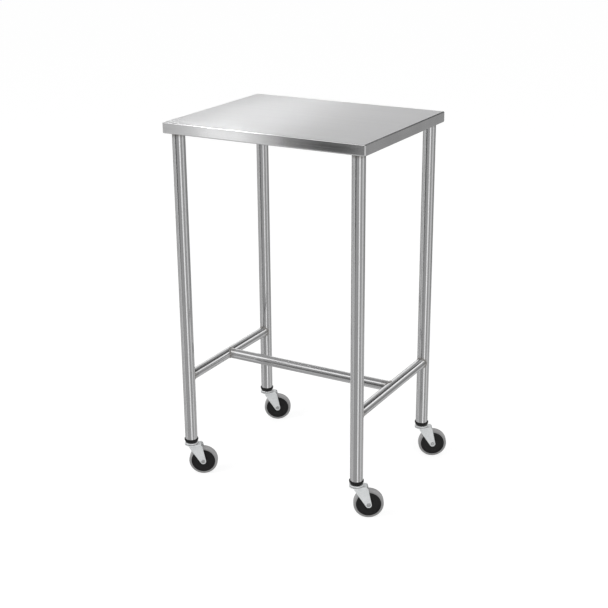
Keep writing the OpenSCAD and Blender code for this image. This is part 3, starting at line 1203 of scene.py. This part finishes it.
@dataclass(frozen=True)
class Bead:
    """A round bead swept along a path, with ripples and, where the path is open, tapered ends."""

    radius: float
    sides: int = 10
    ripple: float = 0.10
    pitch: float = 0.0019
    flat: float = 0.85
    taper: float = 0.25
    tip: float = 0.03

    def swell(self, travelled: float, share: float, closed: bool) -> float:
        """Radius at one point of the path.

        Args:
            travelled: distance from the path's start.
            share: that distance as a share of the whole.
            closed: whether the path is a loop.

        Returns:
            The bead's radius there.
        """
        wave = 1.0 + self.ripple * math.cos(2.0 * math.pi * travelled / self.pitch)
        if closed:
            return self.radius * wave
        end = min(share, 1.0 - share) / self.taper
        return self.radius * wave * math.sqrt(max(self.tip, 1.0 - (1.0 - min(1.0, end)) ** 2))

    def swept(self, mesh: Mesh, path: Sequence[Vector], outward: Sequence[Vector], closed: bool) -> None:
        """Adds the bead to a mesh.

        Args:
            mesh: the mesh that it goes into.
            path: the bead's middle line.
            outward: unit vector away from the joint at each point.
            closed: whether the path is a loop.
        """
        count = len(path)
        steps = [(path[(i + 1) % count] - path[i]).length for i in range(count)]
        total = sum(steps if closed else steps[:-1])
        travelled = 0.0
        rings = []
        for i, point in enumerate(path):
            before = path[(i - 1) % count] if closed or i else path[0]
            after = path[(i + 1) % count] if closed or i < count - 1 else path[-1]
            along = (after - before).normalized()
            out = (outward[i] - along * outward[i].dot(along)).normalized()
            side = along.cross(out)
            radius = self.swell(travelled, travelled / total, closed)
            rings.append([
                mesh.verts.new(point + (out * math.sin(a) * self.flat + side * math.cos(a)) * radius)
                for a in circle(self.sides)
            ])
            travelled += steps[i]
        for i in range(count if closed else count - 1):
            band(mesh, rings[i], rings[(i + 1) % count])
        if not closed:
            mesh.faces.new(list(reversed(rings[0])))
            mesh.faces.new(rings[-1])

    def loop(self, name: str, path: Sequence[Vector], outward: Sequence[Vector]) -> Piece:
        """Makes a bead that closes on itself.

        Args:
            name: the bead's name.
            path: its middle line.
            outward: unit vector away from the joint at each point.

        Returns:
            The bead.
        """
        mesh = bmesh.new()
        self.swept(mesh, path, outward, True)
        return finished(mesh, name)


def band(mesh: Mesh, here: Ring, there: Ring) -> None:
    """Joins two closed rings of points with faces.

    Args:
        mesh: the mesh that the faces go into.
        here: points of the first ring.
        there: points of the second, in the same order.
    """
    for k in range(len(here)):
        n = (k + 1) % len(here)
        mesh.faces.new((here[k], there[k], there[n], here[n]))


def turned(name: str, outline: Sequence[Pair], at: Vector, axis: Vector, steps: int) -> Piece:
    """Turns a closed outline round a level axis.

    Args:
        name: the piece's name.
        outline: points as reach from the axis and distance along it, in order.
        at: point on the axis where the distance is 0.
        axis: unit vector along the axis.
        steps: number of steps round it.

    Returns:
        The new piece.
    """
    first = axis.cross(UP).normalized()
    second = axis.cross(first)
    mesh = bmesh.new()
    rings = []
    for a in circle(steps):
        out = first * math.cos(a) + second * math.sin(a)
        rings.append([mesh.verts.new(at + out * reach + axis * along) for reach, along in outline])
    for step in range(steps):
        band(mesh, rings[step], rings[(step + 1) % steps])
    return finished(mesh, name)


def joined(pieces: Sequence[Piece], name: str) -> Piece:
    """Joins pieces into one, which takes their place.

    Args:
        pieces: the pieces.
        name: the new piece's name.

    Returns:
        The new piece.
    """
    mesh = bmesh.new()
    for piece in pieces:
        mesh.from_mesh(piece.data)
        bpy.data.objects.remove(piece)
    return finished(mesh, name)


def flat_sheet(name: str, half_x: float, half_y: float) -> Piece:
    """Makes a flat rectangle round the origin.

    Args:
        name: its name.
        half_x: half its side along X.
        half_y: half its side along Y.

    Returns:
        The rectangle.
    """
    mesh = bmesh.new()
    signs = ((-1, -1), (1, -1), (1, 1), (-1, 1))
    mesh.faces.new([mesh.verts.new((x * half_x, y * half_y, 0.0)) for x, y in signs])
    return finished(mesh, name)


def soften(piece: Piece, width: float) -> None:
    """Breaks a CAD node's sharp edges with modifiers, which leave its mesh alone.

    Args:
        piece: the node's object.
        width: width of the broken edge.
    """
    weld = piece.modifiers.new("weld", "WELD")
    weld.merge_threshold = SAME_POINT
    bevel = piece.modifiers.new("broken_edges", "BEVEL")
    bevel.width = width
    bevel.segments = BROKEN_STEPS
    bevel.limit_method = "ANGLE"
    bevel.angle_limit = math.radians(SHARP_ANGLE)
    bevel.miter_outer = "MITER_ARC"
    shading = piece.modifiers.new("shading", "WEIGHTED_NORMAL")
    shading.keep_sharp = False
    shading.weight = FLAT_FACE_WEIGHT


def carried(piece: Piece, body: str, finish: Finish) -> None:
    """Finishes a new piece and lets it ride on its body.

    Args:
        piece: the piece, in place.
        body: the CAD body that it rides on.
        finish: its finish.
    """
    finish.on(piece)
    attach(piece, body)
    LOG.info("piece %s rides on %s in %s", piece.name, body, finish.name)


def welded(bead: Piece) -> None:
    """Finishes a weld bead of the table, which rides with it."""
    carried(bead, "table", WELD)


def dressed(node: str, finish: Finish, edge: float = 0.0) -> None:
    """Gives a CAD node its finish and, if asked, broken edges.

    Args:
        node: the node's name.
        finish: its finish.
        edge: width of the broken edges, or 0 for none.
    """
    piece = finish.on(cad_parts[node])
    if edge > 0.0:
        soften(piece, edge)
    LOG.info("node %s in %s", node, finish.name)


# The table


@dataclass
class Worktop:
    """The top sheet with its corner plates and the welds below it."""

    sheet_edge: float = 0.0004
    plate_edge: float = 0.0004
    fillet: Bead = Bead(radius=0.0017, ripple=0.05)
    stitch: Bead = Bead(radius=0.0016, ripple=0.12)
    stitch_length: float = 0.012
    stitch_share: float = 0.28
    stitch_points: int = 24
    seat: float = 0.3
    steps: int = 150

    def build(self) -> None:
        """Dresses the sheet and the plates, and lays a weld round each leg and stitches along each plate."""
        dressed("top_sheet", SHEET, self.sheet_edge)
        for corner in Corner:
            dressed(corner.part("corner_plate"), LENGTH_TUBE, self.plate_edge)
            welded(self.leg_weld(corner))
            welded(self.plate_welds(corner))

    def leg_weld(self, corner: Corner) -> Piece:
        """Bead round the top of a leg, against its corner plate.

        Args:
            corner: the leg's corner.

        Returns:
            The bead.
        """
        leg = corner.part("leg")
        centre = middle(leg)
        centre.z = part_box(leg)[1].z
        radius = size(leg).x / 2.0
        path, outward = [], []
        for a in circle(self.steps):
            round_leg = Vector((math.cos(a), math.sin(a), 0.0))
            out = (round_leg - UP).normalized()
            path.append(centre + round_leg * radius + out * self.fillet.radius * self.seat)
            outward.append(out)
        return self.fillet.loop(corner.part("leg_weld"), path, outward)

    def plate_welds(self, corner: Corner) -> Piece:
        """Two stitches along each inner edge of a corner plate, against the sheet's underside.

        Args:
            corner: the plate's corner.

        Returns:
            The four stitches in one piece.
        """
        low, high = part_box(corner.part("corner_plate"))
        mid, half = (low + high) / 2.0, (high - low) / 2.0
        shares = [i / (self.stitch_points - 1) - HALF for i in range(self.stitch_points)]
        mesh = bmesh.new()
        for inward, along, reach, side in (
            (LENGTHWISE * -corner.sign_x, DEPTHWISE, half.x, half.y),
            (DEPTHWISE * -corner.sign_y, LENGTHWISE, half.y, half.x),
        ):
            out = (inward - UP).normalized()
            for end in (-1, 1):
                centre = mid + inward * reach + along * end * side * 2.0 * self.stitch_share
                centre.z = high.z
                centre += out * self.stitch.radius * self.seat
                path = [centre + along * self.stitch_length * share for share in shares]
                self.stitch.swept(mesh, path, [out] * self.stitch_points, False)
        return finished(mesh, corner.part("plate_welds"))


@dataclass
class Frame:
    """The legs and the H of brace tubes, with a bead at each saddle joint."""

    bead: Bead = Bead(radius=0.0014)
    smooth: float = 0.002
    seat: float = 0.3
    steps: int = 240

    def build(self) -> None:
        """Dresses the tubes and lays the saddle beads."""
        for corner in Corner:
            dressed(corner.part("leg"), UPRIGHT_TUBE)
        dressed("stretcher", LENGTH_TUBE)
        brace_r = size("stretcher").z / 2.0
        leg_r = size(Corner.FRONT_LEFT.part("leg")).x / 2.0
        for side, sign in (("left", -1), ("right", 1)):
            rail = f"end_rail_{side}"
            dressed(rail, DEPTH_TUBE)
            joint = Vector((middle(rail).x, 0.0, middle(rail).z))
            inward = LENGTHWISE * -sign
            welded(self.saddle(f"stretcher_weld_{side}", joint, inward, DEPTHWISE, brace_r, brace_r))
        for corner in Corner:
            joint = middle(corner.part("leg"))
            joint.z = middle("stretcher").z
            inward = DEPTHWISE * -corner.sign_y
            welded(self.saddle(corner.part("rail_weld"), joint, inward, UP, brace_r, leg_r))

    def saddle(
        self, name: str, joint: Vector, along: Vector, post: Vector, tube_r: float, post_r: float
    ) -> Piece:
        """Bead where a tube meets the side of another.

        Args:
            name: the bead's name.
            joint: where the two axes cross.
            along: unit vector from the joint along the tube.
            post: unit vector along the tube that it meets.
            tube_r: radius of the tube.
            post_r: radius of the one that it meets.

        Returns:
            The bead.
        """
        across = along.cross(post)
        path, outward = [], []
        for a in circle(self.steps):
            off_tube = post * math.cos(a) + across * math.sin(a)
            aside = tube_r * math.sin(a)
            reach = math.sqrt(max(0.0, post_r**2 - aside**2) + self.smooth**2)
            off_post = (across * aside + along * reach).normalized()
            out = (off_tube + off_post).normalized()
            path.append(joint + off_tube * tube_r + along * reach + out * self.bead.radius * self.seat)
            outward.append(out)
        return self.bead.loop(name, path, outward)


@dataclass(frozen=True)
class Ridges:
    """Low rounded ridges round the axle on both faces of the wheel, at their distances from the axle."""

    name: str
    reaches: Tuple[float, ...]
    width: float
    height: float
    sink: float = 0.0
    arc_steps: int = 6
    steps: int = 96

    def piece(self, corner: Corner, face: float) -> Piece:
        """Makes the ridges of one wheel.

        Args:
            corner: the wheel's corner.
            face: distance of the tyre's faces from the wheel's middle.

        Returns:
            All the ridges in one piece.
        """
        half, foot = self.width / 2.0, face - self.sink
        angles = [math.pi * k / self.arc_steps for k in range(self.arc_steps + 1)]
        rings = []
        for reach in self.reaches:
            for side in (-1, 1):
                arc = [(math.cos(a) * half, math.sin(a) * self.height) for a in angles]
                section = [*arc, (-half, -self.height), (half, -self.height)]
                outline = [(reach + out, side * (foot + up)) for out, up in section]
                rings.append(turned("ring", outline, CASTORS.axle(corner), CASTORS.near(), self.steps))
        return joined(rings, corner.part(self.name))


@dataclass
class Castor:
    """One castor with its expander: the CAD nodes' finishes and the small parts on them."""

    corner: Corner
    fork_edge: float = 0.0003
    nut_edge: float = 0.0002
    core_edge: float = 0.00025
    insert_wall: float = 0.0011
    insert_stand: float = 0.0003
    insert_steps: int = 40
    thread_depth: float = 0.00012
    web: Ridges = Ridges("core_ridges", reaches=(0.0130, 0.0205), width=0.0007, height=0.00025, sink=0.0015)
    sidewall: Ridges = Ridges("sidewall_lines", reaches=(0.0304,), width=0.0006, height=0.00022)

    def build(self) -> None:
        """Dresses every node of the castor and adds its small parts."""
        for part, finish, edge in (
            ("collar", RUBBER, 0.0),
            ("stem", BOLT, self.nut_edge),
            ("stem_nut", BOLT, self.nut_edge),
            ("race_cap", BRIGHT_ZINC, 0.0),
            ("race_balls", SHADED_BALL, 0.0),
            ("fork", ZINC, self.fork_edge),
            ("axle", BOLT, self.nut_edge),
            ("axle_nut", BOLT, self.nut_edge),
            ("bush", BOLT, 0.0),
            ("wheel_core", CORE, self.core_edge),
            ("tyre", TYRE, 0.0),
        ):
            dressed(self.corner.part(part), finish, edge)
        carried(self.lock_insert(), self.corner.part("castor"), NYLON)
        face = max(along for along, _ in self.spread("tyre"))
        wheel = self.corner.part("wheel")
        carried(self.web.piece(self.corner, face), wheel, CORE)
        carried(self.sidewall.piece(self.corner, face), wheel, TYRE)

    def spread(self, part: str) -> List[Pair]:
        """Where the points of a CAD node lie by the axle.

        Args:
            part: the node's part.

        Returns:
            For each point its distance along the axle, positive to the near side, and its reach from it.
        """
        near, axle = CASTORS.near(), CASTORS.axle(self.corner)
        offsets = [point.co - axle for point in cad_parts[self.corner.part(part)].data.vertices]
        return [(offset.dot(near), offset.cross(near).length) for offset in offsets]

    def lock_insert(self) -> Piece:
        """Makes the nylon insert that stands out of the axle nut round the thread.

        Returns:
            The insert.
        """
        face = min(along for along, _ in self.spread("axle_nut"))
        bore = max(reach for along, reach in self.spread("axle") if along < face)
        inner, outer = bore + self.thread_depth, bore + self.insert_wall
        crown = face - self.insert_stand
        outline = [
            (inner, face), (outer, face), (outer, (face + crown) / 2.0),
            (outer - self.insert_stand / 2.0, crown), (inner, crown),
        ]
        axle = CASTORS.axle(self.corner)
        return turned(self.corner.part("lock_insert"), outline, axle, CASTORS.near(), self.insert_steps)


# The studio


@dataclass(frozen=True)
class Panel(Effect):
    """A pale or dark wall panel that the metal reflects, placed by the direction that is looked in."""

    name: str = "reflected_panel"
    inputs: Inputs = tuple(
        (label, 1.0) for label in ("Turn", "Rise", "At", "Half", "Soft", "Low", "High", "Fade")
    )
    outputs: Names = ("Mask",)

    def lay(self, bench: Bench, given: Given) -> Laid:
        """Fades the mask out past the half width, below the low limit and above the high one.

        Args:
            bench: where the nodes go.
            given: the group's inputs.

        Returns:
            What feeds each output.
        """
        off = bench.math("ABSOLUTE", bench.minus(given["Turn"], given["At"]))
        wide = bench.ramp(off, given["Half"], bench.plus(given["Half"], given["Soft"]), 1.0, 0.0)
        foot = bench.minus(given["Low"], given["Fade"])
        head = bench.plus(given["High"], given["Fade"])
        above = bench.ramp(given["Rise"], foot, given["Low"])
        below = bench.ramp(given["Rise"], given["High"], head, 1.0, 0.0)
        return {"Mask": bench.times(wide, bench.times(above, below))}


PANEL = Panel()


@dataclass(frozen=True)
class Wall:
    """One panel of the studio: where it stands as seen from the table, in degrees, and how bright it is."""

    turn: float
    half_width: float
    soft: float
    low: float
    high: float
    tone: float
    fade: float = 5.0

    def over(self, bench: Bench, turn: Feed, rise: Feed, tone: Feed) -> Socket:
        """Lays the panel over what stands behind it.

        Args:
            bench: the world's bench.
            turn: direction that is looked in, round Z.
            rise: its height over the horizon.
            tone: brightness of what stands behind.

        Returns:
            The brightness with the panel.
        """
        mask = PANEL.on(
            bench, Turn=turn, Rise=rise, At=self.turn, Half=self.half_width,
            Soft=self.soft, Low=self.low, High=self.high, Fade=self.fade,
        )["Mask"]
        return bench.plus(tone, bench.times(bench.minus(self.tone, tone), mask))


@dataclass(frozen=True)
class Lamp:
    """A soft area lamp that lights the object and the floor but isn't itself reflected."""

    name: str
    at: Point
    aim: Point
    width: float
    height: float
    power: float

    def build(self) -> None:
        """Hangs the lamp."""
        data = bpy.data.lights.new(self.name, "AREA")
        data.shape = "RECTANGLE"
        data.size, data.size_y = self.width, self.height
        data.energy = self.power
        lamp = bpy.data.objects.new(self.name, data)
        bpy.context.scene.collection.objects.link(lamp)
        face_to(lamp, self.at, self.aim)
        lamp.visible_glossy = False
        LOG.info("lamp %s", self.name)


def face_to(thing: Piece, at: Sequence[float], aim: Sequence[float]) -> None:
    """Places a thing and turns its -Z to a point.

    Args:
        thing: the thing.
        at: where it goes.
        aim: the point that it faces.
    """
    thing.location = at
    thing.rotation_euler = (Vector(aim) - Vector(at)).to_track_quat("-Z", "Y").to_euler()


@dataclass
class Studio:
    """Camera, floor, lamps and the walls that the metal reflects. A later wall covers an earlier one."""

    camera_at: Point = (1.365519, -2.413806, 1.421160)
    camera_aim: Point = (0.263824, -0.478514, 0.619930)
    camera_roll: float = -0.00811
    frame_pixels: float = 608.0
    focal_pixels: float = 1232.037
    sensor: float = 36.0
    clip: Pair = (0.05, 200.0)
    floor_half: float = 40.0
    floor_grey: float = 0.8
    floor_shadow_share: float = 0.34
    floor_glow: float = 0.78
    ambient: float = 0.62
    room_tone: float = 0.42
    # Each wall has its turn, half width, soft border, low and high end, tone and, where it isn't 5, its fade.
    walls: Tuple[Wall, ...] = (
        Wall(0.0, 180.0, 1.0, 70.0, 90.0, 0.85, 7.0),
        Wall(-40.0, 48.0, 12.0, 6.0, 34.0, 0.85, 5.0),
        Wall(172.0, 24.0, 8.0, 6.0, 34.0, 0.85, 5.0),
        Wall(105.0, 50.0, 6.0, 14.0, 26.0, 0.85, 4.0),
        Wall(122.0, 30.0, 8.0, 3.0, 12.0, 1.4, 3.0),
        Wall(60.0, 9.0, 6.0, 17.0, 23.0, 1.45, 3.0),
        Wall(95.0, 45.0, 10.0, -22.0, -3.0, 0.30),
        Wall(75.0, 18.0, 8.0, 31.0, 52.0, 0.12, 3.0),
        Wall(-98.0, 18.0, 3.0, 3.0, 20.0, 0.20),
        Wall(-111.4, 7.6, 2.4, -16.0, 3.0, 0.04, 3.0),
        Wall(-132.5, 8.5, 2.0, -42.0, 8.0, 0.70),
        Wall(-127.5, 1.3, 1.8, -14.0, -3.0, 0.36, 2.5),
        Wall(-123.1, 1.0, 0.7, -22.0, 8.0, 1.02),
        Wall(-142.0, 18.0, 6.0, 38.0, 55.0, 1.4, 4.0),
        Wall(84.0, 14.0, 3.0, 4.0, 33.0, 0.09, 2.0),
        Wall(-116.0, 0.5, 0.8, -16.0, 3.0, 0.30, 3.0),
        Wall(-43.0, 5.0, 7.0, -45.0, 4.0, 1.3),
        Wall(15.0, 8.0, 9.0, -45.0, 4.0, 0.80),
        Wall(78.0, 26.0, 8.0, -52.0, -22.0, 0.60, 4.0),
        Wall(148.0, 5.0, 6.0, -45.0, 2.0, 1.1),
        Wall(169.0, 5.0, 3.0, -45.0, 2.0, 0.12),
        Wall(-168.0, 7.0, 8.0, -45.0, 2.0, 0.75),
        Wall(0.0, 180.0, 1.0, -90.0, -66.0, 0.74, 6.0),
    )
    card_at: Point = (-0.735, -0.42, 1.875)
    card_aim: Point = (-0.12, 0.0, 0.875)
    card_size: Pair = (0.22, 0.26)
    card_tone: float = 11.0
    card_range: float = 1.6
    lamps: Tuple[Lamp, ...] = (
        Lamp("key_lamp", at=(-1.66, -2.0, 2.6), aim=(0.0, 0.0, 0.6), width=0.9, height=1.2, power=34.0),
        Lamp("fill_lamp", at=(2.4, -1.6, 2.2), aim=(0.0, 0.0, 0.5), width=1.4, height=1.4, power=18.0),
    )

    def build(self) -> None:
        """Builds the whole studio."""
        bpy.context.scene.view_settings.view_transform = "Standard"
        self.add_camera()
        self.add_floor()
        self.add_card()
        self.light_world()
        for lamp in self.lamps:
            lamp.build()

    def add_camera(self) -> None:
        """Sets up the camera at the photograph's viewpoint."""
        data = bpy.data.cameras.new("camera")
        data.sensor_width = self.sensor
        data.lens = self.focal_pixels / self.frame_pixels * self.sensor
        data.clip_start, data.clip_end = self.clip
        camera = bpy.data.objects.new("camera", data)
        bpy.context.scene.collection.objects.link(camera)
        forward = (Vector(self.camera_aim) - Vector(self.camera_at)).normalized()
        right = forward.cross(UP).normalized()
        up = right.cross(forward)
        cos, sin = math.cos(self.camera_roll), math.sin(self.camera_roll)
        columns = (right * cos + up * sin, up * cos - right * sin, -forward)
        camera.matrix_world = Matrix.Translation(self.camera_at) @ Matrix(columns).transposed().to_4x4()
        bpy.context.scene.camera = camera
        LOG.info("camera with a %.1f mm lens", data.lens)

    def add_floor(self) -> None:
        """Lays the pale floor, which shows white with the object's shadow on it."""
        floor = flat_sheet("floor", self.floor_half, self.floor_half)
        made, bench = blank_material("studio_floor")
        paint = bench.node("ShaderNodeBsdfDiffuse", {"Color": (self.floor_grey,) * 3 + (1.0,)})
        shadowed = bench.node("ShaderNodeBsdfDiffuse", {"Color": (self.floor_shadow_share,) * 3 + (1.0,)})
        glow = bench.node("ShaderNodeEmission", {"Strength": self.floor_glow})
        seen = bench.node("ShaderNodeAddShader", {0: shadowed.outputs[0], 1: glow.outputs[0]})
        ray = bench.node("ShaderNodeLightPath").outputs["Is Camera Ray"]
        mixed = bench.node("ShaderNodeMixShader", {0: ray, 1: paint.outputs[0], 2: seen.outputs[0]})
        bench.node("ShaderNodeOutputMaterial", {"Surface": mixed.outputs[0]})
        floor.data.materials.append(made)
        floor.visible_glossy = False
        LOG.info("floor")

    def add_card(self) -> None:
        """Hangs a pale card over the table's left, which only shows as the bright band on the brushed top."""
        card = flat_sheet("reflected_card", self.card_size[0] / 2.0, self.card_size[1] / 2.0)
        made, bench = blank_material("card_glow")
        length = bench.node("ShaderNodeLightPath").outputs["Ray Length"]
        near = bench.math("LESS_THAN", length, self.card_range)
        glow = bench.node("ShaderNodeEmission", {"Strength": bench.times(near, self.card_tone)})
        bench.node("ShaderNodeOutputMaterial", {"Surface": glow.outputs[0]})
        card.data.materials.append(made)
        face_to(card, self.card_at, self.card_aim)
        card.visible_camera = False
        card.visible_diffuse = False
        card.visible_transmission = False
        card.visible_shadow = False
        LOG.info("reflected card")

    def light_world(self) -> None:
        """Makes the world: white to the camera, plain to the object and panelled to its reflections."""
        world = bpy.data.worlds.new("studio")
        bpy.context.scene.world = world
        world.use_nodes = True
        world.node_tree.nodes.clear()
        bench = Bench(world.node_tree)
        x, y, z = bench.parts(bench.node("ShaderNodeTexCoord").outputs["Generated"])
        turn = bench.math("DEGREES", bench.math("ARCTAN2", y, x))
        rise = bench.math("DEGREES", bench.math("ARCSINE", z))
        tone: Feed = self.room_tone
        for wall in self.walls:
            tone = wall.over(bench, turn, rise, tone)
        ray = bench.node("ShaderNodeLightPath").outputs
        seen = bench.math("MAXIMUM", ray["Is Camera Ray"], ray["Is Transmission Ray"])
        lit = bench.mix("FLOAT", ray["Is Glossy Ray"], self.ambient, tone)
        white = {"Color": (1.0, 1.0, 1.0, 1.0), "Strength": bench.mix("FLOAT", seen, lit, 1.0)}
        bench.node("ShaderNodeOutputWorld", {"Surface": bench.node("ShaderNodeBackground", white).outputs[0]})
        LOG.info("world with %d wall panels", len(self.walls))


def main() -> None:
    """Builds the studio and dresses the table."""
    logging.basicConfig(level=logging.INFO, format="%(message)s")
    Studio().build()
    Worktop().build()
    Frame().build()
    for corner in Corner:
        Castor(corner).build()


if __name__ == "__main__":
    main()
